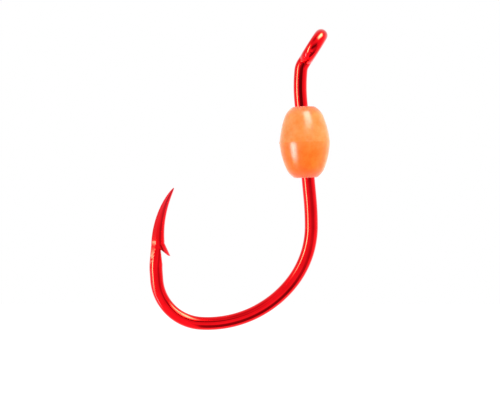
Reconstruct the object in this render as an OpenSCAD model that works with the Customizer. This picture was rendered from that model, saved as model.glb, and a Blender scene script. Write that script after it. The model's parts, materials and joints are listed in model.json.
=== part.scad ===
// Single up-eye bait hook of round wire with a loose oval bead on its shank.
// Millimetres, +Z up. The hook lies in the XZ plane with its point towards -X, and its eye is
// turned up, out over +X. The origin is the centre of the hole in the eye.

/* [Wire] */
// Diameter of the hook wire
wire_d = 1.08; // [0.9:0.01:1.3]

/* [Shank] */
// Length of the straight shank
shank_l = 7.87; // [6.5:0.01:14]
// Lean of the straight shank off vertical, its foot towards +X (degrees)
shank_lean = 5.4; // [0:0.1:10]

/* [Bend] */
// Radius where the shank first starts to bend
entry_r = 24.6; // [15:0.1:40]
// Angle of that first easy curve (degrees)
entry_a = 5.4; // [2:0.1:10]
// Radius of the shoulder below it
shoulder_r = 7.4; // [6:0.1:10]
// Angle of the shoulder (degrees)
shoulder_a = 37.7; // [30:0.1:45]
// Radius of the heel along the bottom
heel_r = 8.75; // [7:0.05:12]
// Angle of the heel (degrees)
heel_a = 56; // [45:0.1:65]
// Radius of the throat below the point
throat_r = 3.82; // [3:0.02:5]
// Angle of the throat (degrees)
throat_a = 82; // [75:0.1:90]

/* [Eye] */
// Radius of the slight bow at the top of the shank
bow_r = 13.4; // [10:0.1:18]
// Angle of that bow, away from the point (degrees)
bow_a = 10.9; // [5:0.1:14]
// Radius of the bend that turns the eye up
turn_r = 1.3; // [0.9:0.05:2]
// Angle of that bend (degrees)
turn_a = 26.9; // [20:0.1:40]
// Radius of the inside of the ring
ring_hole_r = 0.57; // [0.5:0.01:0.9]
// Room left inside the tight bend where the wire steps sideways into the ring
neck_room = 0.026; // [0.01:0.002:0.1]
// Gap between the cut end of the ring and the neck
ring_gap = 0.09; // [0.04:0.01:0.2]
// Depth of the land that the forming pin leaves round the inside of the ring
land_depth = 0.04; // [0.03:0.005:0.06]

/* [Point] */
// Straight wire between the throat and the point
front_l = 0.66; // [0.4:0.02:2]
// Radius of the two small sets that step the point inwards
set_r = 5; // [4:0.5:8]
// Angle of the first set, inwards (degrees)
set_in_a = 9.9; // [5:0.1:12]
// Angle of the second set, back outwards (degrees)
set_out_a = 5.3; // [3:0.1:8]
// Straight wire between the two sets
set_l = 1.18; // [0.6:0.02:1.6]
// Radius of the curve that the ground point follows
beak_r = 8.1; // [6:0.1:10]
// Length of the ground point, along that curve
beak_l = 4.65; // [3.5:0.05:5.5]
// How full the ground point is: 1 is a cone, and less is fuller
beak_fullness = 0.62; // [0.55:0.01:1]
// Width left at the very tip
tip_d = 0.04; // [0.02:0.01:0.1]

/* [Barb] */
// Length of the barb along its back
barb_l = 1.12; // [0.8:0.02:1.4]
// Angle that the barb stands off the wire (degrees)
barb_a = 25; // [18:1:32]
// Thickness of the barb at its tip
barb_tip_t = 0.11; // [0.06:0.01:0.2]
// Depth of the chisel cut behind the barb
cut_depth = 0.25; // [0.1:0.01:0.3]
// Length of the chisel cut, from the root of the barb to where it runs out
cut_l = 1.2; // [0.9:0.05:1.6]
// Distance of the barb's root back from the start of the ground point
barb_back = 0.16; // [0.1:0.01:0.5]

/* [Bead] */
// Widest diameter of the bead
bead_d = 4.14; // [3.7:0.02:5]
// Length of the bead over its ends
bead_l = 5.9; // [5:0.1:7.2]
// Radius of the rounded ends
bead_end_r = 1.71; // [1.5:0.01:1.8]
// Crease where the two halves of the bead's side meet at its parting line (degrees each)
bead_crease = 3; // [0:0.5:4]
// Loose fit of the bead's bore round the wire, on the radius
bead_clearance = 0.26; // [0.22:0.01:0.4]
// Share of its play on the wire that the bead's lean takes up
bead_lean = 0.71; // [0:0.01:0.9]
// Distance of the bead's middle down from the top of the straight shank
bead_down = 3.32; // [3.2:0.01:4.2]

/* [Hidden] */
$fn = 96;

wire_r = wire_d / 2;
bore_r = wire_r + bead_clearance;
bead_hang = bead_lean * atan(2 * bead_clearance / bead_l);

// Every second run of the wire is drawn a hair thinner and a little longer, so that its ends
// sink into the runs beside it
run_step = 0.002;
run_sink = 0.05;

// The ring and the neck that leads into it
ring_r = ring_hole_r + wire_r;
neck_r = wire_r + neck_room;
ring_reach = sqrt(pow(ring_r + neck_r, 2) - pow(neck_r, 2));
neck_a = acos(neck_r / (ring_r + neck_r));
end_reach = neck_r + wire_r + ring_gap;
open_a = acos((pow(ring_r, 2) + pow(ring_r + neck_r, 2) - pow(end_reach, 2))
              / (2 * ring_r * (ring_r + neck_r)));
ring_a = 360 - open_a;
land_r = ring_hole_r + land_depth;
eye_lean = 90 + shank_lean - bow_a - turn_a;

// The wire from the neck to the point, as runs that are [length, 0] where it is straight, or
// [radius, angle] where it bends, with + to the left
RUNS = [
    [turn_r, turn_a],
    [bow_r, bow_a],
    [shank_l, 0],
    [entry_r, -entry_a],
    [shoulder_r, -shoulder_a],
    [heel_r, -heel_a],
    [throat_r, -throat_a],
    [front_l, 0],
    [set_r, -set_in_a],
    [set_l, 0],
    [set_r, set_out_a],
];
SHANK = 2;

// Stations along the runs, each [x, z, heading]
function heading(a) = [cos(a), sin(a)];
function turned(p, a) = [p.x * cos(a) - p.y * sin(a), p.x * sin(a) + p.y * cos(a)];
function place(st) = [st.x, st.y];
function bend_centre(st, run) = place(st) + run[0] * heading(st.z + 90 * sign(run[1]));
function after(st, run) =
    run[1] == 0
        ? concat(place(st) + run[0] * heading(st.z), st.z)
        : let (c = bend_centre(st, run)) concat(c + turned(place(st) - c, run[1]), st.z + run[1]);
function stations(st, i = 0) =
    i == len(RUNS) ? [st] : concat([st], stations(after(st, RUNS[i]), i + 1));

ST = stations(concat(-ring_reach * heading(eye_lean), eye_lean + 180));
beak = ST[len(RUNS)];
bead_at = place(ST[SHANK]) + bead_down * heading(ST[SHANK].z);

// Stand upright what is drawn flat
module upright() {
    rotate([90, 0, 0]) children();
}

// Move to a station, with the drawing's +Y along the wire and +X to its right
module at_station(st) {
    translate([st.x, st.y, 0]) rotate([0, 0, st.z - 90]) children();
}

// A straight length of wire along +Y, sunk into its neighbours by the amount given
module straight_wire(l, r, sink) {
    translate([0, -sink, 0]) rotate([-90, 0, 0]) cylinder(r = r, h = l + 2 * sink);
}

// A bent length of wire round the origin, from +X on to the left
module bent_wire(bend_r, a, r, sink) {
    more = sink / bend_r * 180 / PI;
    rotate([0, 0, -more])
        rotate_extrude(angle = a + 2 * more) translate([bend_r, 0]) circle(r = r);
}

module wire_run(i) {
    run = RUNS[i];
    st = ST[i];
    thin = i % 2;
    r = wire_r - thin * run_step;
    sink = thin * run_sink;
    if (run[1] == 0)
        at_station(st) straight_wire(run[0], r, sink);
    else
        translate(concat(bend_centre(st, run), 0))
            rotate([0, 0, st.z - 90 * sign(run[1]) + min(run[1], 0)])
                bent_wire(run[0], abs(run[1]), r, sink);
}

// The ring of the eye and its neck, drawn flat with the shank coming in along +Y
module ring() {
    neck_end = turned([neck_r, 0], 180 - neck_a) + [neck_r, 0];
    difference() {
        union() {
            translate([neck_r, 0]) rotate([0, 0, 180 - neck_a])
                bent_wire(neck_r, neck_a, wire_r - run_step, run_sink);
            translate([0, ring_reach]) rotate([0, 0, atan2(neck_end.y - ring_reach, neck_end.x)])
                bent_wire(ring_r, ring_a, wire_r, 0);
        }
        translate([0, ring_reach, -wire_d]) cylinder(r = land_r, h = 2 * wire_d);
    }
}

module eye() {
    translate([ST[0].x, 0, ST[0].y]) rotate([0, 90 - eye_lean, 0]) rotate([90, 0, -90]) ring();
}

// The ground point: round sections that shrink along the beak's curve. The place along it is 0
// where the grinding starts and 1 at the tip
beak_steps = 24;
beak_sides = 24;
beak_step = 0.004;
beak_centre = bend_centre(beak, [beak_r, -1]);
function beak_turn(u) = beak.z - u * beak_l / beak_r * 180 / PI;
function beak_axis(u) = beak_centre + beak_r * heading(beak_turn(u) + 90);
function beak_section_r(u) = max(wire_d * pow(1 - max(u, 0), beak_fullness), tip_d) / 2 - beak_step;
function beak_section(u) =
    [for (k = [0 : beak_sides - 1])
        let (a = 360 * k / beak_sides, r = beak_section_r(u),
             side = beak_axis(u) + r * cos(a) * heading(beak_turn(u) - 90))
        [side.x, side.y, r * sin(a)]];

module ground_point() {
    start = -run_sink / beak_l;
    sections = [for (i = [0 : beak_steps]) beak_section(start + (1 - start) * i / beak_steps)];
    n = beak_sides;
    walls = [for (i = [0 : beak_steps - 1], k = [0 : n - 1])
        let (a = i * n + k, b = i * n + (k + 1) % n) each [[a, b, b + n], [a, b + n, a + n]]];
    ends = [[for (k = [0 : n - 1]) n - 1 - k], [for (k = [0 : n - 1]) beak_steps * n + k]];
    polyhedron(points = [for (section = sections) each section], faces = concat(walls, ends));
}

// The barb is a slice of the wire's own round side, cut by a chisel and lifted off it
barb_sink = 0.1;
barb_r = wire_r - 0.02;
barb_root = [wire_r, -barb_back];
crotch = [wire_r - cut_depth, -barb_back - cut_depth / tan(barb_a)];

module barb() {
    across = heading(180 + barb_a);
    tip = barb_root + barb_l * heading(barb_a - 90);
    intersection() {
        linear_extrude(height = wire_d, center = true)
            polygon([
                barb_root + [-barb_sink, barb_sink],
                barb_root,
                tip,
                tip + barb_tip_t * across,
                crotch,
                crotch + [-barb_sink, 2 * barb_sink],
            ]);
        translate(barb_root + barb_r * across) rotate([0, 0, barb_a])
            rotate([90, 0, 0]) translate([0, 0, -wire_d]) cylinder(r = barb_r, h = barb_l + 2 * wire_d);
    }
}

// What the chisel takes out of the wire behind the barb
module chisel_cut() {
    linear_extrude(height = 2 * wire_d, center = true)
        polygon([crotch, [wire_d, crotch.y + wire_r], [wire_d, crotch.y - cut_l], [wire_r, crotch.y - cut_l]]);
}

module hook() {
    color("crimson") {
        eye();
        upright() {
            difference() {
                union() {
                    for (i = [0 : len(RUNS) - 1]) wire_run(i);
                    ground_point();
                }
                at_station(beak) chisel_cut();
            }
            at_station(beak) barb();
        }
    }
}

// The bead's outline, from the parting line up to the mouth of its bore: a long side arc that
// meets the parting line at a slight crease, and then a round end
bead_arc_steps = 10;
end_z = bead_l / 2 - sqrt(pow(bead_end_r, 2) - pow(bore_r, 2));
side_r = (pow(bead_d / 2, 2) + pow(end_z, 2) - pow(bead_end_r, 2))
         / (2 * (bead_d / 2 * cos(bead_crease) - end_z * sin(bead_crease) - bead_end_r));
side_centre = [bead_d / 2, 0] - side_r * heading(bead_crease);
side_end_a = atan2(end_z - side_centre.y, -side_centre.x);
mouth_a = acos(bore_r / bead_end_r);
function arc(centre, r, from, to) =
    [for (i = [0 : bead_arc_steps]) centre + r * heading(from + (to - from) * i / bead_arc_steps)];
bead_half = concat(
    arc(side_centre, side_r, bead_crease, side_end_a),
    arc([0, end_z], bead_end_r, side_end_a + 1, mouth_a)
);

module bead() {
    n = len(bead_half);
    lower_half = [for (i = [1 : n - 1]) [bead_half[n - i].x, -bead_half[n - i].y]];
    color("orange")
        translate([bead_at.x, 0, bead_at.y]) rotate([0, bead_hang - shank_lean, 0])
            rotate_extrude() polygon(concat(lower_half, bead_half));
}

hook();
bead();
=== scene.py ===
"""A beaded bait hook: one red lacquered wire hook with its eye turned up, and an oval orange bead
that is loose on the shank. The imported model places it; the shapes and finishes are made here."""

import json
import math

import bmesh
import bpy
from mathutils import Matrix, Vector, noise
from mathutils.kdtree import KDTree


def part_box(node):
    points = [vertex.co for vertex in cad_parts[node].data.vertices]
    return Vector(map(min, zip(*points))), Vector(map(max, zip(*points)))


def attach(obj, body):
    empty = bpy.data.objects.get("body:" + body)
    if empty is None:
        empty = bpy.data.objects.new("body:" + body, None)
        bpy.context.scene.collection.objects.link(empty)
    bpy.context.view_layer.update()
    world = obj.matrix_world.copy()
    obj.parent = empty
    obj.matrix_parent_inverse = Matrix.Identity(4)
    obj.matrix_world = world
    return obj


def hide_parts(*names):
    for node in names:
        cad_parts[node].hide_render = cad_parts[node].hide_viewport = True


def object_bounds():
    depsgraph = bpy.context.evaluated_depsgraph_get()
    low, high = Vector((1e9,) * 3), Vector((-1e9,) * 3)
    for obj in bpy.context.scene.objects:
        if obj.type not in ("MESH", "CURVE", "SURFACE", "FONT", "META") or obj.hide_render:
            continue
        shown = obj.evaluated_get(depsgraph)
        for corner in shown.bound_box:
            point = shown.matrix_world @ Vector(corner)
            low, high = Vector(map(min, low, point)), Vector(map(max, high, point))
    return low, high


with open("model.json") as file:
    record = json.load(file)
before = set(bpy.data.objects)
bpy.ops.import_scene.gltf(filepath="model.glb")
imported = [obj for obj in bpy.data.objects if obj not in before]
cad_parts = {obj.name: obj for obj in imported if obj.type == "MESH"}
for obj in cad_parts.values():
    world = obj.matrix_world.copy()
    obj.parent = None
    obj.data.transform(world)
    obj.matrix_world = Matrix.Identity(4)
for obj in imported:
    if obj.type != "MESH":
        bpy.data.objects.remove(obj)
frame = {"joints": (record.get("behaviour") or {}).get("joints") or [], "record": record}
cad_low, cad_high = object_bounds()

MM = 0.001

# ---------------------------------------------------------------- sizes, in millimetres and degrees

WIRE_R = 0.54
SHANK_L = 7.87
RING_HOLE_R = 0.57
RING_GAP = 0.09
LAND_DEPTH = 0.04
NECK_ROOM = 0.026

# The wire from the neck to the ground point: a straight length, or a bend of a radius and an angle
TURN = (1.3, 26.9)
BOW = (13.4, 10.9)
ENTRY = (24.6, -5.4)
SHOULDER = (7.4, -37.7)
HEEL = (8.75, -56.0)
THROAT = (3.82, -82.0)
FRONT_L = 0.66
SET_IN = (5.0, -9.9)
SET_L = 1.18
SET_OUT = (5.0, 5.3)

BEAK_R = 8.1
BEAK_L = 4.65
BEAK_FULLNESS = 0.62
TIP_R = 0.012
# The two flats ground on the outside of the point, either side of its back
GRIND_RUN_IN = 1.6
GRIND_LEAN = 40
GRIND_DEPTH = 0.17

BARB_L = 1.12
BARB_LEAN = 25
BARB_TIP_T = 0.1
BARB_BACK = 0.16
CUT_DEPTH = 0.25
CUT_L = 1.2

BEAD_R = 2.055
BEAD_L = 5.9
BEAD_END_R = 1.71
BEAD_BORE_R = 0.8
BEAD_MOUTH_R = 0.14
BEAD_LEAN_SHARE = 0.71
# How far each half's side leans in where the two halves meet, then the flash and the moulding nub
CREASE_ABOVE = 5
CREASE_BELOW = 3
SEAM_HALF_T = 0.014
SEAM_SET_IN = 0.004
NUB_OUT = 0.05

# How the cut end of the ring is rounded over and crowned
CUT_BURR = 0.035
CUT_CROWN = 0.012

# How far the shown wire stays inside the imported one, and how finely the wire is made
SKIN = 0.003
ROUND = 64
FINE_STEP = 0.06
STEP = 0.12

# ---------------------------------------------------------------- where things are

record = frame["record"]
line_eye = record["mounts"][0]
EYE = Vector(line_eye["pos_m"])
EYE_AXIS = Vector(line_eye["axis"]).normalized()
SHANK_UP = Vector(frame["joints"][0]["axis"]).normalized()
ACROSS = Vector((0, 1, 0))
BAR_UP = ACROSS.cross(EYE_AXIS).normalized() * -1

bead_low, bead_high = (Vector(corner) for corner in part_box("bead"))
BEAD_AT = (bead_low + bead_high) / 2


def heading_of(way):
    """The heading, in degrees, of a direction in the plane of the hook."""
    return math.degrees(math.atan2(way.z, way.x))


def towards(heading):
    """The direction in the plane of the hook that a heading points in."""
    a = math.radians(heading)
    return Vector((math.cos(a), 0, math.sin(a)))


# ---------------------------------------------------------------- the line the wire follows


class Station:
    """A place on the wire: its centre, its own two cross directions, its radius and its flats."""

    def __init__(self, at, way, side, along, radius=WIRE_R, flats=(), thin=0.0):
        self.at = at
        self.way = way
        self.side = side
        self.along = along
        self.radius = radius
        self.flats = flats
        self.thin = thin


def eye_stations():
    """The ring, from its cut end round to the neck, and the neck, down to the turn."""
    ring_r = RING_HOLE_R + WIRE_R
    neck_r = WIRE_R + NECK_ROOM
    reach = math.sqrt((ring_r + neck_r) ** 2 - neck_r**2)
    end_reach = neck_r + WIRE_R + RING_GAP
    both = ring_r + neck_r
    opening = math.acos((ring_r**2 + both**2 - end_reach**2) / (2 * ring_r * both))
    neck_lean = math.atan2(neck_r, reach)
    last_turn = -math.pi + neck_lean
    first_turn = last_turn + 2 * math.pi - opening
    side = EYE_AXIS * -1
    land = ((90, WIRE_R - LAND_DEPTH),)
    out = []
    count = math.ceil((first_turn - last_turn) * ring_r / FINE_STEP)
    for i in range(count):
        turn = first_turn + (last_turn - first_turn) * i / count
        at = EYE + ring_r * MM * (math.cos(turn) * BAR_UP + math.sin(turn) * ACROSS)
        way = math.sin(turn) * BAR_UP - math.cos(turn) * ACROSS
        out.append(Station(at, way, side, (first_turn - turn) * ring_r, flats=land))
    ring_l = (first_turn - last_turn) * ring_r
    centre = EYE - reach * MM * BAR_UP - neck_r * MM * ACROSS
    sweep = math.pi / 2 - neck_lean
    count = math.ceil(sweep * both / 2 / FINE_STEP)
    for i in range(count):
        turn = neck_lean + sweep * i / count
        at = centre + neck_r * MM * (math.cos(turn) * BAR_UP + math.sin(turn) * ACROSS)
        way = math.cos(turn) * ACROSS - math.sin(turn) * BAR_UP
        out.append(Station(at, way, side, ring_l + (turn - neck_lean) * neck_r))
    neck_end = EYE - reach * MM * BAR_UP
    return out, neck_end, ring_l + sweep * neck_r


def run_stations(at, heading, along, run, step=STEP):
    """Stations along one straight or bent run, and where it ends."""
    out = []
    if not isinstance(run, tuple):
        count = max(1, math.ceil(run / step))
        way = towards(heading)
        for i in range(count):
            reach = run * i / count
            out.append(Station(at + way * reach * MM, way, towards(heading - 90), along + reach))
        return out, at + way * run * MM, heading, along + run
    radius, angle = run
    length = radius * math.radians(abs(angle))
    count = max(2, math.ceil(length / step))
    sign = math.copysign(1, angle)
    centre = at + radius * MM * towards(heading + 90 * sign)
    for i in range(count + 1):
        now = heading + angle * i / count
        place = centre + radius * MM * towards(now - 90 * sign)
        out.append(Station(place, towards(now), towards(now - 90), along + length * i / count))
    end = out.pop()
    return out, end.at, heading + angle, along + length


def beak_radius(u):
    """The wire's radius along the ground point, from 0 at its start to 1 at its tip."""
    return max(WIRE_R * (1 - u) ** BEAK_FULLNESS, TIP_R)


def grind(station, before_beak):
    """Adds the two flats ground on the outside of the point, which run in ahead of the beak."""
    share = min(max(1 - before_beak / GRIND_RUN_IN, 0), 1)
    if share <= 0:
        return
    depth = GRIND_DEPTH * math.sqrt(share) * station.radius
    flat = station.radius - depth
    station.flats = ((180 - GRIND_LEAN, flat), (180 + GRIND_LEAN, flat))


def chisel(station, before_beak):
    """Adds the flat that the chisel leaves behind the barb, deepest at the crotch."""
    crotch = BARB_BACK + CUT_DEPTH / math.tan(math.radians(BARB_LEAN))
    below = before_beak - crotch
    if 0 <= below < CUT_L:
        flat = WIRE_R - CUT_DEPTH * (1 - below / CUT_L)
        station.flats = (*station.flats, (0, flat))


def hook_stations():
    """Every station of the wire, from the cut end of the ring to the tip of the point."""
    stations, at, along = eye_stations()
    heading = heading_of(BAR_UP) + 180
    runs = [TURN, BOW, SHANK_L, ENTRY, SHOULDER, HEEL, THROAT]
    for run in runs:
        step = FINE_STEP if run is TURN else STEP
        some, at, heading, along = run_stations(at, heading, along, run, step)
        stations += some
    front = []
    for run in (FRONT_L, SET_IN, SET_L, SET_OUT):
        some, at, heading, along = run_stations(at, heading, along, run, FINE_STEP / 3)
        front += some
    for station in front:
        before_beak = along - station.along
        grind(station, before_beak)
        chisel(station, before_beak)
    stations += front
    beak_start = (at.copy(), heading)
    beak_turn = -math.degrees(BEAK_L / BEAK_R)
    point, *_ = run_stations(at, heading, along, (BEAK_R, beak_turn), FINE_STEP)
    for station in point:
        u = (station.along - along) / BEAK_L
        station.radius = beak_radius(u)
        station.thin = u**2
        grind(station, 0)
    return stations + point, beak_start


# ---------------------------------------------------------------- meshes


def section_radius(station, angle):
    """The wire's radius in one direction, in degrees from its side, where flats may cut it."""
    radius = station.radius
    for where, flat in station.flats:
        facing = math.cos(math.radians(angle - where))
        if facing > 0.01:
            radius = min(radius, flat / facing)
    return radius


def add_section(mesh, station, shrink=0.0):
    """One ring of points round a station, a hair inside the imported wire."""
    second = station.way.cross(station.side)
    points = []
    for k in range(ROUND):
        angle = 360 * k / ROUND
        reach = (section_radius(station, angle) - shrink - SKIN) * MM
        a = math.radians(angle)
        out = math.cos(a) * station.side + math.sin(a) * second
        points.append(mesh.verts.new(station.at + reach * out))
    return points


def skin(mesh, rings):
    """Quads from ring to ring."""
    for near, far in zip(rings, rings[1:]):
        n = len(near)
        for k in range(n):
            mesh.faces.new((near[k], near[(k + 1) % n], far[(k + 1) % n], far[k]))


def cap(mesh, ring, centre, outwards):
    """A fan that closes a ring, its faces turned the way given."""
    middle = mesh.verts.new(centre)
    n = len(ring)
    for k in range(n):
        face = mesh.faces.new((ring[k], ring[(k + 1) % n], middle))
        face.normal_update()
        if face.normal.dot(outwards) < 0:
            face.normal_flip()


def as_object(mesh, name, sharp=40):
    """Closes a bmesh into a shown object, smooth but for edges sharper than the angle given."""
    bmesh.ops.recalc_face_normals(mesh, faces=mesh.faces)
    data = bpy.data.meshes.new(name)
    mesh.to_mesh(data)
    mesh.free()
    data.shade_smooth()
    data.set_sharp_from_angle(angle=math.radians(sharp))
    piece = bpy.data.objects.new(name, data)
    bpy.context.scene.collection.objects.link(piece)
    return piece


def wire_mesh():
    """The whole wire as one closed skin, with its cut end and its tip."""
    mesh = bmesh.new()
    stations, beak_start = hook_stations()
    first, last = stations[0], stations[-1]
    rounded = Station(first.at + first.way * CUT_BURR * MM, first.way, first.side, 0, flats=first.flats)
    rings = [add_section(mesh, first, CUT_BURR), add_section(mesh, rounded)]
    rings += [add_section(mesh, station) for station in stations[1:]]
    skin(mesh, rings)
    cap(mesh, rings[0], first.at - first.way * CUT_CROWN * MM, first.way * -1)
    cap(mesh, rings[-1], last.at + last.way * TIP_R * MM, last.way)
    return mesh, beak_start


def barb_mesh(beak_start):
    """The barb: a slice of the wire's round side that thins out to its tip."""
    at, heading = beak_start
    side, way = towards(heading - 90), towards(heading)
    root = at + (WIRE_R * side - BARB_BACK * way) * MM
    lean = math.radians(BARB_LEAN)
    back = math.sin(lean) * side - math.cos(lean) * way
    inwards = -math.cos(lean) * side - math.sin(lean) * way
    slice_r = WIRE_R - 0.02
    sunk = 0.22
    crotch_t = CUT_DEPTH * math.cos(lean) * 2
    crotch_l = CUT_DEPTH / math.tan(lean) * math.cos(lean) - CUT_DEPTH * math.sin(lean)
    growth = (crotch_t - BARB_TIP_T) / (BARB_L - crotch_l)
    mesh = bmesh.new()
    rings = []
    arc = 20
    reaches = [-sunk + (BARB_L + sunk) * i / 40 for i in range(41)]
    for reach in reaches:
        near_end = min(1, max(0, (BARB_L - reach) / 0.1))
        thick = (BARB_TIP_T + growth * (BARB_L - reach)) * (0.45 + 0.55 * math.sqrt(near_end))
        spread = math.acos(1 - thick / slice_r) * (0.8 + 0.2 * math.sqrt(near_end))
        depth = slice_r * (1 - math.cos(spread))
        centre = root + (reach * back + slice_r * inwards) * MM
        ring = []
        for k in range(arc + 1):
            a = spread * (2 * k / arc - 1)
            out = math.sin(a) * ACROSS - math.cos(a) * inwards
            ring.append(mesh.verts.new(centre + slice_r * MM * out))
        for k in range(1, arc // 2):
            y = math.sin(spread) * slice_r * (1 - 4 * k / arc)
            ring.append(mesh.verts.new(root + (reach * back + depth * inwards + y * ACROSS) * MM))
        rings.append(ring)
    skin(mesh, rings)
    for ring, outwards in ((rings[0], back * -1), (rings[-1], back)):
        middle = sum((v.co for v in ring), Vector()) / len(ring)
        cap(mesh, ring, middle, outwards)
    return mesh


def joined(whole, added):
    """Fuses a second closed mesh into the first."""
    fuse = whole.modifiers.new("fuse", "BOOLEAN")
    fuse.operation = "UNION"
    fuse.solver = "EXACT"
    fuse.object = added
    graph = bpy.context.evaluated_depsgraph_get()
    data = bpy.data.meshes.new_from_object(whole.evaluated_get(graph))
    whole.modifiers.remove(fuse)
    old, whole.data = whole.data, data
    bpy.data.meshes.remove(old)
    bpy.data.objects.remove(added)
    return whole


def hook_piece():
    """The whole hook: the wire, with its barb fused on."""
    wire, beak_start = wire_mesh()
    piece = as_object(wire, "hook_wire")
    barb = as_object(barb_mesh(beak_start), "barb")
    piece = joined(piece, barb)
    piece.data.shade_smooth()
    piece.data.set_sharp_from_angle(angle=math.radians(18))
    return piece


def arc_points(centre, radius, start, end, count):
    """Points (across, up) along an arc, from one angle to another."""
    out = []
    for i in range(count + 1):
        a = start + (end - start) * i / count
        out.append((centre[0] + radius * math.cos(a), centre[1] + radius * math.sin(a)))
    return out


def half_outline(crease):
    """The bead's outside from the parting line to the bore, for one half: (across, up)."""
    c = math.radians(crease)
    full_z = BEAD_L / 2 - math.sqrt(BEAD_END_R**2 - BEAD_BORE_R**2)
    lean = 2 * (BEAD_R * math.cos(c) - full_z * math.sin(c) - BEAD_END_R)
    side_r = (BEAD_R**2 + full_z**2 - BEAD_END_R**2) / lean
    centre = (BEAD_R - side_r * math.cos(c), -side_r * math.sin(c))
    meet = math.atan2(full_z - centre[1], -centre[0])
    mouth = math.acos((BEAD_BORE_R + BEAD_MOUTH_R) / (BEAD_END_R - BEAD_MOUTH_R / 2))
    points = arc_points(centre, side_r, c, meet, 24)
    points += arc_points((0, full_z), BEAD_END_R, meet, mouth, 20)[1:]
    edge_r, edge_z = points[-1]
    lip = edge_r - BEAD_BORE_R
    for i in range(1, 7):
        across = BEAD_BORE_R + lip * (1 - math.sin(math.pi / 2 * i / 6))
        points.append((across, edge_z + lip_rise(i / 6)))
    return points


def lip_rise(share):
    """How far the lip of the bore stands up, falling away into the bore."""
    return 0.05 * math.sin(math.pi * min(share, 0.5)) - 0.16 * max(share - 0.45, 0) ** 1.5


def bead_piece():
    """The bead: two moulded halves that meet at a crease with a trace of flash, and its bore."""
    above = half_outline(CREASE_ABOVE)
    below = [(r, -z) for r, z in half_outline(CREASE_BELOW)]
    seam_r = BEAD_R - SEAM_SET_IN
    outline = [(seam_r, SEAM_HALF_T), *above[1:]]
    bore_top = above[-1][1]
    bore_low = below[-1][1]
    bore = [(BEAD_BORE_R, bore_top + (bore_low - bore_top) * i / 12) for i in range(1, 12)]
    outline += bore + list(reversed(below[1:])) + [(seam_r, -SEAM_HALF_T), (BEAD_R, 0)]
    up = tilted_bead_up()
    left = ACROSS.cross(up).normalized() * -1
    mesh = bmesh.new()
    rounds = 160
    rings = []
    for k in range(rounds):
        a = 2 * math.pi * k / rounds
        out = math.cos(a) * left + math.sin(a) * ACROSS
        flash = 0.008 + 0.012 * max(noise.noise(out * 3.1) + 0.4, 0)
        nub = NUB_OUT * math.exp(-((math.atan2(math.sin(a), math.cos(a)) / 0.09) ** 2))
        ring = []
        for i, (r, z) in enumerate(outline):
            reach = r
            if i == len(outline) - 1:
                reach += flash * 0.5 + nub
            elif i in (0, len(outline) - 2):
                reach += nub * 0.75
            ring.append(mesh.verts.new(BEAD_AT + (reach * out + z * up) * MM))
        rings.append(ring)
    skin(mesh, [*rings, rings[0]])
    return as_object(mesh, "bead_body", 12)


def tilted_bead_up():
    """The way the bead's bore points: the shank's, less the bead's lean in its play."""
    play = math.degrees(math.atan(2 * (BEAD_BORE_R - WIRE_R) / BEAD_L))
    return towards(heading_of(SHANK_UP) - BEAD_LEAN_SHARE * play)


# ---------------------------------------------------------------- shader groups


def group(name, inputs, outputs):
    """An empty shader group with named inputs and outputs: (tree, input node, output node)."""
    tree = bpy.data.node_groups.new(name, "ShaderNodeTree")
    for label, kind, value in inputs:
        socket = tree.interface.new_socket(label, in_out="INPUT", socket_type=kind)
        if value is not None:
            socket.default_value = value
    for label, kind in outputs:
        tree.interface.new_socket(label, in_out="OUTPUT", socket_type=kind)
    return tree, tree.nodes.new("NodeGroupInput"), tree.nodes.new("NodeGroupOutput")


def calc(tree, operation, first, second=None, third=None):
    """A maths node on sockets or numbers; returns its result."""
    node = tree.nodes.new("ShaderNodeMath")
    node.operation = operation
    for i, value in enumerate((first, second, third)):
        if value is None:
            continue
        if isinstance(value, (int, float)):
            node.inputs[i].default_value = value
        else:
            tree.links.new(value, node.inputs[i])
    return node.outputs[0]


def spread(tree, value, low, high, to_low=0.0, to_high=1.0):
    """Maps a value from one range to another, held at both ends."""
    node = tree.nodes.new("ShaderNodeMapRange")
    tree.links.new(value, node.inputs["Value"])
    ends = {"From Min": low, "From Max": high, "To Min": to_low, "To Max": to_high}
    for label, number in ends.items():
        node.inputs[label].default_value = number
    return node.outputs["Result"]


def draw_lines_group():
    """Fine lines along the wire from the drawing die: height and mask."""
    tree, into, out = group(
        "draw_lines",
        [
            ("Vector", "NodeSocketVector", None),
            ("Lines", "NodeSocketFloat", 9.0),
            ("Stretch", "NodeSocketFloat", 0.05),
        ],
        [("Height", "NodeSocketFloat"), ("Mask", "NodeSocketFloat")],
    )
    split = tree.nodes.new("ShaderNodeSeparateXYZ")
    tree.links.new(into.outputs["Vector"], split.inputs[0])
    stretched = tree.nodes.new("ShaderNodeCombineXYZ")
    round_wire = calc(tree, "MULTIPLY", split.outputs[0], into.outputs["Lines"])
    along_wire = calc(tree, "MULTIPLY", split.outputs[1], into.outputs["Lines"])
    along_wire = calc(tree, "MULTIPLY", along_wire, into.outputs["Stretch"])
    tree.links.new(round_wire, stretched.inputs[0])
    tree.links.new(along_wire, stretched.inputs[1])
    grain = tree.nodes.new("ShaderNodeTexNoise")
    grain.inputs["Scale"].default_value = 1.0
    grain.inputs["Detail"].default_value = 4.0
    grain.inputs["Roughness"].default_value = 0.6
    tree.links.new(stretched.outputs[0], grain.inputs["Vector"])
    tree.links.new(grain.outputs["Fac"], out.inputs["Height"])
    tree.links.new(spread(tree, grain.outputs["Fac"], 0.52, 0.72), out.inputs["Mask"])
    return tree


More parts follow.
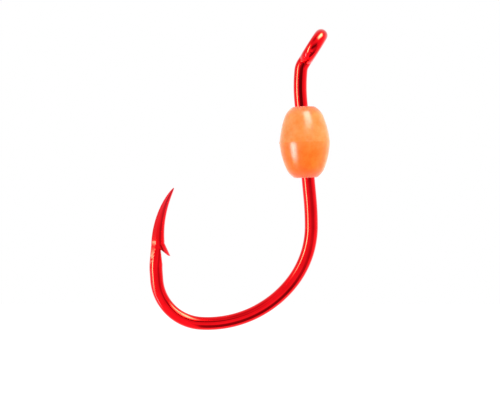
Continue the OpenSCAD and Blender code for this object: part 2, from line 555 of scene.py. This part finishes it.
def mottle_group():
    """Soft uneven patches, as where a finish lies thick or thin: 0 to 1."""
    tree, into, out = group(
        "mottle",
        [
            ("Vector", "NodeSocketVector", None),
            ("Scale", "NodeSocketFloat", 800.0),
            ("Softness", "NodeSocketFloat", 0.5),
        ],
        [("Value", "NodeSocketFloat")],
    )
    patches = tree.nodes.new("ShaderNodeTexNoise")
    patches.inputs["Detail"].default_value = 3.0
    tree.links.new(into.outputs["Vector"], patches.inputs["Vector"])
    tree.links.new(into.outputs["Scale"], patches.inputs["Scale"])
    tree.links.new(into.outputs["Softness"], patches.inputs["Roughness"])
    tree.links.new(spread(tree, patches.outputs["Fac"], 0.32, 0.68), out.inputs["Value"])
    return tree


def handling_group():
    """A mask of the small rubbed spots that handling leaves."""
    tree, into, out = group(
        "handling",
        [
            ("Vector", "NodeSocketVector", None),
            ("Scale", "NodeSocketFloat", 4000.0),
            ("Amount", "NodeSocketFloat", 0.2),
        ],
        [("Mask", "NodeSocketFloat")],
    )
    cells = tree.nodes.new("ShaderNodeTexVoronoi")
    tree.links.new(into.outputs["Vector"], cells.inputs["Vector"])
    tree.links.new(into.outputs["Scale"], cells.inputs["Scale"])
    shades = tree.nodes.new("ShaderNodeSeparateColor")
    tree.links.new(cells.outputs["Color"], shades.inputs[0])
    chosen = calc(tree, "LESS_THAN", shades.outputs[0], into.outputs["Amount"])
    near = spread(tree, cells.outputs["Distance"], 0.08, 0.24, 1.0, 0.0)
    tree.links.new(calc(tree, "MULTIPLY", chosen, near), out.inputs["Mask"])
    return tree


DRAW_LINES = draw_lines_group()
MOTTLE = mottle_group()
HANDLING = handling_group()


def place_group(tree, which, vector, **values):
    """Puts a shared group in a material, fed by a vector, with its own values."""
    node = tree.nodes.new("ShaderNodeGroup")
    node.node_tree = which
    tree.links.new(vector, node.inputs["Vector"])
    for label, value in values.items():
        node.inputs[label].default_value = value
    return node


def blend_colours(tree, share, low, high):
    """Mixes two colours, each a colour or a socket, by a share."""
    node = tree.nodes.new("ShaderNodeMix")
    node.data_type = "RGBA"
    tree.links.new(share, node.inputs["Factor"])
    for label, value in (("A", low), ("B", high)):
        socket = [s for s in node.inputs if s.name == label and s.type == "RGBA"][0]
        if isinstance(value, tuple):
            socket.default_value = (*value, 1)
        else:
            tree.links.new(value, socket)
    return [s for s in node.outputs if s.type == "RGBA"][0]


def new_material(name):
    """A material with only its Principled shader: (material, tree, shader)."""
    material = bpy.data.materials.new(name)
    material.use_nodes = True
    tree = material.node_tree
    shader = next(n for n in tree.nodes if n.type == "BSDF_PRINCIPLED")
    return material, tree, shader


def bump(tree, height, distance, strength):
    """A bump from a height; returns its normal."""
    node = tree.nodes.new("ShaderNodeBump")
    node.inputs["Distance"].default_value = distance
    node.inputs["Strength"].default_value = strength
    tree.links.new(height, node.inputs["Height"])
    return node.outputs["Normal"]


LACQUER_DEEP = (0.76, 0.0024, 0.0065)
LACQUER_CLEAR = (0.88, 0.0042, 0.0095)
LACQUER_THIN = (0.95, 0.045, 0.07)
# Painted light and shade on the bead: the upper half paler, as if lit from above, the lower half a
# deeper orange, as if in shade; each pair mottles at random
BEAD_UPPER_LIT = ((1.0, 0.25, 0.035), (1.0, 0.36, 0.10))
BEAD_LOWER_SHADED = ((1.0, 0.165, 0.005), (1.0, 0.25, 0.022))
WIRE_SHOWING = (1.0, 0.12, 0.07)


def red_lacquer():
    """Clear red lacquer over bright drawn wire."""
    material, tree, shader = new_material("red_lacquer")
    spots = tree.nodes.new("ShaderNodeTexCoord").outputs["Object"]
    wrap = tree.nodes.new("ShaderNodeUVMap").outputs["UV"]
    lines = place_group(tree, DRAW_LINES, wrap, Lines=9.0, Stretch=0.04)
    depth = place_group(tree, MOTTLE, spots, Scale=900.0, Softness=0.55)
    marks = place_group(tree, HANDLING, spots, Scale=5200.0, Amount=0.1)
    colour = blend_colours(tree, depth.outputs["Value"], LACQUER_DEEP, LACQUER_CLEAR)
    thin = tree.nodes.new("ShaderNodeAttribute")
    thin.attribute_name = "thin_lacquer"
    colour = blend_colours(tree, thin.outputs["Fac"], colour, LACQUER_THIN)
    tree.links.new(colour, shader.inputs["Base Color"])
    rough = calc(tree, "MULTIPLY_ADD", lines.outputs["Mask"], 0.04, 0.09)
    rough = calc(tree, "MULTIPLY_ADD", marks.outputs["Mask"], 0.05, rough)
    tree.links.new(rough, shader.inputs["Roughness"])
    shader.inputs["Metallic"].default_value = 1.0
    shader.inputs["Coat Weight"].default_value = 0.06
    shader.inputs["Coat Roughness"].default_value = 0.08
    grain = bump(tree, lines.outputs["Height"], 0.000002, 0.4)
    tree.links.new(grain, shader.inputs["Normal"])
    return material


def orange_bead():
    """Milky orange plastic, moulded glossy, with the wire showing through near its ends, and painted
    shade that makes its lower half a deeper orange than its paler upper half.
    """
    material, tree, shader = new_material("orange_moulding")
    spots = tree.nodes.new("ShaderNodeTexCoord").outputs["Object"]
    cloud = place_group(tree, MOTTLE, spots, Scale=1500.0, Softness=0.65)
    marks = place_group(tree, HANDLING, spots, Scale=3600.0, Amount=0.12)
    pale = blend_colours(tree, cloud.outputs["Value"], *BEAD_UPPER_LIT)
    full = blend_colours(tree, cloud.outputs["Value"], *BEAD_LOWER_SHADED)
    # Painted shade: the lower half takes the deeper colours, the upper half the paler ones
    lower = tree.nodes.new("ShaderNodeAttribute")
    lower.attribute_name = "lower_half"
    colour = blend_colours(tree, lower.outputs["Fac"], pale, full)
    near_wire = tree.nodes.new("ShaderNodeAttribute")
    near_wire.attribute_name = "near_wire"
    colour = blend_colours(tree, near_wire.outputs["Fac"], colour, WIRE_SHOWING)
    tree.links.new(colour, shader.inputs["Base Color"])
    rough = calc(tree, "MULTIPLY_ADD", marks.outputs["Mask"], 0.15, 0.26)
    tree.links.new(rough, shader.inputs["Roughness"])
    shader.inputs["IOR"].default_value = 1.45
    shader.inputs["Specular IOR Level"].default_value = 0.14
    shader.inputs["Sheen Weight"].default_value = 1.0
    shader.inputs["Sheen Roughness"].default_value = 0.4
    shader.inputs["Sheen Tint"].default_value = (1.0, 0.85, 0.7, 1.0)
    shader.inputs["Subsurface Weight"].default_value = 1.0
    shader.inputs["Subsurface Radius"].default_value = (1.0, 0.42, 0.16)
    shader.inputs["Subsurface Scale"].default_value = 0.0005
    tree.links.new(bump(tree, cloud.outputs["Value"], 0.000006, 0.3), shader.inputs["Normal"])
    return material


# ---------------------------------------------------------------- what the finishes read


def unroll(piece):
    """Lays out the wire's surface: across is the way round it, and up the way along it, in mm."""
    stations, _ = hook_stations()
    centres = [s.at for s in stations]
    mesh = piece.data
    layer = mesh.uv_layers.new(name="wrap")
    thin = mesh.attributes.new("thin_lacquer", "FLOAT", "POINT")
    nearest = KDTree(len(centres))
    for i, centre in enumerate(centres):
        nearest.insert(centre, i)
    nearest.balance()
    where = []
    for vertex in mesh.vertices:
        _, i, _ = nearest.find(vertex.co)
        s = stations[i]
        offset = vertex.co - s.at
        second = s.way.cross(s.side)
        angle = math.atan2(offset.dot(second), offset.dot(s.side)) / (2 * math.pi)
        along = s.along + offset.dot(s.way) / MM
        where.append((angle, along))
        proud = max(0, offset.length / MM / WIRE_R - 1.05) if s.radius > 0.9 * WIRE_R else 0
        thin.data[vertex.index].value = min(1, 0.8 * max(s.thin, proud))
    for polygon in mesh.polygons:
        angles = [where[mesh.loops[i].vertex_index][0] for i in polygon.loop_indices]
        wraps = max(angles) - min(angles) > 0.5
        for i, angle in zip(polygon.loop_indices, angles):
            turn = angle + 1 if wraps and angle < 0 else angle
            round_mm = turn * 2 * math.pi * WIRE_R
            layer.data[i].uv = (round_mm, where[mesh.loops[i].vertex_index][1])


def held(share):
    """Holds a share between 0 and 1."""
    return min(1, max(0, share))


def mark_bead(piece):
    """Marks the bead's lower half for painted shade, deepening further down, and where the red wire
    shows through near the ends of its bore.
    """
    near_wire = piece.data.attributes.new("near_wire", "FLOAT", "POINT")
    lower_half = piece.data.attributes.new("lower_half", "FLOAT", "POINT")
    up = tilted_bead_up()
    for vertex in piece.data.vertices:
        offset = (vertex.co - BEAD_AT) / MM
        height = offset.dot(up)
        out = (offset - height * up).length
        # Painted shade: below the parting line the colour deepens the further down it lies
        lower_half.data[vertex.index].value = held(0.45 - 0.6 * height) if height < 0 else 0
        end = held((abs(height) - (2.1 if height > 0 else 1.6)) / 0.8)
        close = held((1.75 - out) / 0.8)
        outside = out > BEAD_BORE_R + 0.001
        near_wire.data[vertex.index].value = 0.8 * end * close if outside else 0.85


# ---------------------------------------------------------------- the hook and the bead


def make_hook():
    """The red hook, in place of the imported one."""
    piece = hook_piece()
    unroll(piece)
    piece.data.materials.clear()
    piece.data.materials.append(red_lacquer())
    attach(piece, "hook_body")
    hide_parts("hook")
    return piece


def make_bead():
    """The orange bead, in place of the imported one."""
    piece = bead_piece()
    mark_bead(piece)
    piece.data.materials.append(orange_bead())
    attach(piece, "bead_body")
    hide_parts("bead")
    return piece


# ---------------------------------------------------------------- stage, light and camera

MIDDLE = (cad_low + cad_high) / 2
AIM = Vector((-5.19, 0, -12.46)) * MM
VIEW_W = 40.75 * MM
LENS = 120
SENSOR = 36

WARM = (1.0, 0.9, 0.27)
AMBIENT = 0.85
# The dark ribbon in front of the hook, from the eye down the shank and round the bend: across and
# up at its near edge and its far edge, its strength, and the softness of its near edge
FRONT_SHADE = [
    (-14, 25, 30, 25, 0.85, 12),
    (-14, 9.5, 34, 9.5, 1.0, 10),
    (-14, 7.5, 34, 7.5, 0.87, 10),
    (-13, 4, 36, 4, 0.8, 10),
    (-7, -1, 56, 2, 0.47, 20),
    (-3, -5, 56, -10, 0.47, 22),
    (4, -8, 90, -45, 0.6, 20),
    (9, -13, 120, -110, 0.86, 14),
    (7, -17, 90, -150, 0.88, 12),
    (2.5, -19, 50, -170, 0.86, 12),
    (-2, -20, 12, -180, 0.86, 12),
    (-5, -20, -12, -180, 0.8, 12),
    (-9, -20, -26, -180, 0.4, 12),
]


def way_to(azimuth, elevation):
    """The direction to a light: azimuth 0 is the camera's side, and 90 is to its right."""
    a, e = math.radians(azimuth), math.radians(elevation)
    return Vector((math.sin(a) * math.cos(e), -math.cos(a) * math.cos(e), math.sin(e)))


def facing(way):
    """The turn that faces something at that direction back at the object."""
    return way.to_track_quat("Z", "Y")


def soft_card(name, azimuth, elevation, size, radiance, distance=400, colour=(1, 1, 1)):
    """A glowing or a dark card with soft edges, in millimetres, that shows only as a reflection."""
    data = bpy.data.meshes.new(name)
    wide, tall = size[0] / 2 * MM, size[1] / 2 * MM
    corners = [(-wide, -tall, 0), (wide, -tall, 0), (wide, tall, 0), (-wide, tall, 0)]
    data.from_pydata(corners, [], [(0, 1, 2, 3)])
    sheet = show_card(data, card_light(name, radiance, colour, edge_fade))
    way = way_to(azimuth, elevation)
    sheet.location = MIDDLE + way * distance * MM
    sheet.rotation_mode = "QUATERNION"
    sheet.rotation_quaternion = facing(way)
    return sheet


def shade_ribbon(name, edges, radiance, distance=30):
    """A soft-edged curved dark card in front of the hook: pairs of edge points across and up from
    its middle, in millimetres, and how strongly it shades there."""
    fine = []
    for near, far in zip(edges, edges[1:]):
        for i in range(8):
            t = i / 8
            fine.append([a + (b - a) * t for a, b in zip(near, far)])
    fine.append(list(edges[-1]))
    columns = 14
    steps = [(k / columns) ** 1.8 for k in range(columns + 1)]
    corners, faces = [], []
    for x0, z0, x1, z1, *_ in fine:
        for v in steps:
            place = Vector((x0 + (x1 - x0) * v, -distance, z0 + (z1 - z0) * v))
            corners.append(MIDDLE + place * MM)
    row = columns + 1
    for i in range(len(fine) - 1):
        for k in range(columns):
            a = i * row + k
            faces.append((a, a + 1, a + row + 1, a + row))
    data = bpy.data.meshes.new(name)
    data.from_pydata(corners, [], faces)
    share = data.attributes.new("shade_share", "FLOAT", "POINT")
    last = len(fine) - 1
    for i, (x0, z0, x1, z1, strength, soft) in enumerate(fine):
        end = min(1, min(i, last - i) / 8)
        width = math.hypot(x1 - x0, z1 - z0)
        for k, v in enumerate(steps):
            side = min(v * width / soft, (1 - v) / 0.3, 1)
            share.data[i * row + k].value = strength * end * smooth(side)
    return show_card(data, card_light(name, radiance, (1, 1, 1), told_fade))


def smooth(t):
    """Eases a share of 0 to 1 in and out."""
    return t * t * (3 - 2 * t)


def show_card(data, glow):
    """Puts a card on the stage, to be seen in reflections only."""
    sheet = bpy.data.objects.new(data.name, data)
    data.materials.append(glow)
    bpy.context.scene.collection.objects.link(sheet)
    sheet.visible_camera = False
    sheet.visible_diffuse = False
    sheet.visible_transmission = False
    sheet.visible_shadow = False
    return sheet


def card_light(name, radiance, colour, fade):
    """The glow of a card, which fades out as the nodes that fade makes say."""
    material = bpy.data.materials.new(name)
    material.use_nodes = True
    tree = material.node_tree
    tree.nodes.clear()
    share = fade(tree)
    glow = tree.nodes.new("ShaderNodeEmission")
    glow.inputs["Color"].default_value = (*colour, 1)
    glow.inputs["Strength"].default_value = radiance
    clear = tree.nodes.new("ShaderNodeBsdfTransparent")
    mix = tree.nodes.new("ShaderNodeMixShader")
    tree.links.new(share, mix.inputs["Fac"])
    tree.links.new(clear.outputs[0], mix.inputs[1])
    tree.links.new(glow.outputs[0], mix.inputs[2])
    end = tree.nodes.new("ShaderNodeOutputMaterial")
    tree.links.new(mix.outputs[0], end.inputs[0])
    return material


def told_fade(tree):
    """What each point of a card was told."""
    told = tree.nodes.new("ShaderNodeAttribute")
    told.attribute_name = "shade_share"
    return told.outputs["Fac"]


def edge_fade(tree):
    """1 in the middle of a card, easing to 0 at its edges."""
    across = tree.nodes.new("ShaderNodeSeparateXYZ")
    tree.links.new(tree.nodes.new("ShaderNodeTexCoord").outputs["Generated"], across.inputs[0])
    shares = []
    for side in (0, 1):
        off_middle = calc(tree, "ABSOLUTE", calc(tree, "SUBTRACT", across.outputs[side], 0.5))
        fade = tree.nodes.new("ShaderNodeMapRange")
        fade.interpolation_type = "SMOOTHSTEP"
        tree.links.new(off_middle, fade.inputs["Value"])
        fade.inputs["From Min"].default_value = 0.5
        fade.inputs["From Max"].default_value = 0.1
        shares.append(fade.outputs["Result"])
    return calc(tree, "MULTIPLY", *shares)


def pale_floor():
    """A wide pale floor, well below the hook."""
    data = bpy.data.meshes.new("floor")
    half, drop = 4.0, cad_low.z - 0.25
    data.from_pydata(
        [(-half, -half, drop), (half, -half, drop), (half, half, drop), (-half, half, drop)],
        [],
        [(0, 1, 2, 3)],
    )
    floor = bpy.data.objects.new("floor", data)
    material, _, shader = new_material("pale_floor")
    shader.inputs["Base Color"].default_value = (0.94, 0.94, 0.94, 1)
    shader.inputs["Roughness"].default_value = 0.9
    shader.inputs["Specular IOR Level"].default_value = 0.0
    shader.inputs["Emission Color"].default_value = (1, 1, 1, 1)
    shader.inputs["Emission Strength"].default_value = 0.35
    data.materials.append(material)
    bpy.context.scene.collection.objects.link(floor)


def white_room():
    """White all round, but dimmer to soft surfaces, so that the lamps can shape them."""
    world = bpy.data.worlds.new("white_room")
    world.use_nodes = True
    tree = world.node_tree
    back = tree.nodes["Background"]
    back.inputs["Color"].default_value = (1, 1, 1, 1)
    soft = tree.nodes.new("ShaderNodeLightPath").outputs["Is Diffuse Ray"]
    tree.links.new(spread(tree, soft, 0, 1, 1.0, AMBIENT), back.inputs["Strength"])
    bpy.context.scene.world = world


def lamp(name, azimuth, elevation, size, radiance, glossy=False):
    """A soft lamp, its width and height in degrees. It shows as a reflection only if told to."""
    distance = 0.5
    light = bpy.data.lights.new(name, "AREA")
    light.shape = "RECTANGLE"
    light.size, light.size_y = (2 * distance * math.tan(math.radians(side / 2)) for side in size)
    light.energy = radiance * math.pi * light.size * light.size_y
    shown = bpy.data.objects.new(name, light)
    way = way_to(azimuth, elevation)
    shown.location = MIDDLE + way * distance
    shown.rotation_mode = "QUATERNION"
    shown.rotation_quaternion = facing(way)
    shown.visible_camera = False
    shown.visible_glossy = glossy
    shown.visible_diffuse = not glossy
    bpy.context.scene.collection.objects.link(shown)
    return shown


def studio(hook, bead):
    """A white room, a soft key lamp, and the lamps and cards that make each piece's highlights."""
    white_room()
    pale_floor()
    lamp("key_lamp", 50, 55, (30, 30), 5.0)
    only(bead, lamp("bead_left", -57, -15, (26, 26), 64, glossy=True))
    only(bead, lamp("bead_top", 25, 53, (30, 42), 48, glossy=True))
    only(hook, soft_card("left_strip", -62, 5, (100, 420), 230, colour=WARM))
    only(hook, soft_card("low_left", -80, -22, (80, 300), 80, colour=(1.0, 0.8, 0.5)))
    only(hook, soft_card("top_box", 59, 56, (460, 340), 170, colour=WARM))
    # Close to the ground point, so that its flats alone reflect it
    near_point = {"distance": 19.5, "colour": (1.0, 0.9, 0.4)}
    only(hook, soft_card("point_card", -95.6, -16.7, (2.6, 3.0), 85, **near_point))
    soft_card("right_fill", 105, 0, (700, 500), 1.3)
    soft_card("over_shade", -45, 60, (350, 350), 0.6)
    # Close to the eye, to darken its neck
    soft_card("neck_shade", 32, 22, (7, 8), 0.1, distance=10)
    shade_ribbon("front_shade", FRONT_SHADE, 0.1)


def only(piece, light):
    """Lets a light fall on one piece alone."""
    lit = bpy.data.collections.new(light.name + "_falls_on")
    lit.objects.link(piece)
    light.light_linking.receiver_collection = lit


def camera():
    """The camera, square on to the plane of the hook."""
    data = bpy.data.cameras.new("camera")
    data.lens = LENS
    data.sensor_width = SENSOR
    data.clip_start = 0.005
    data.clip_end = 20
    eye = bpy.data.objects.new("camera", data)
    eye.location = AIM + Vector((0, -VIEW_W * LENS / SENSOR, 0))
    eye.rotation_euler = (math.pi / 2, 0, 0)
    bpy.context.scene.collection.objects.link(eye)
    bpy.context.scene.camera = eye
    bpy.context.scene.view_settings.view_transform = "Standard"


camera()
studio(make_hook(), make_bead())
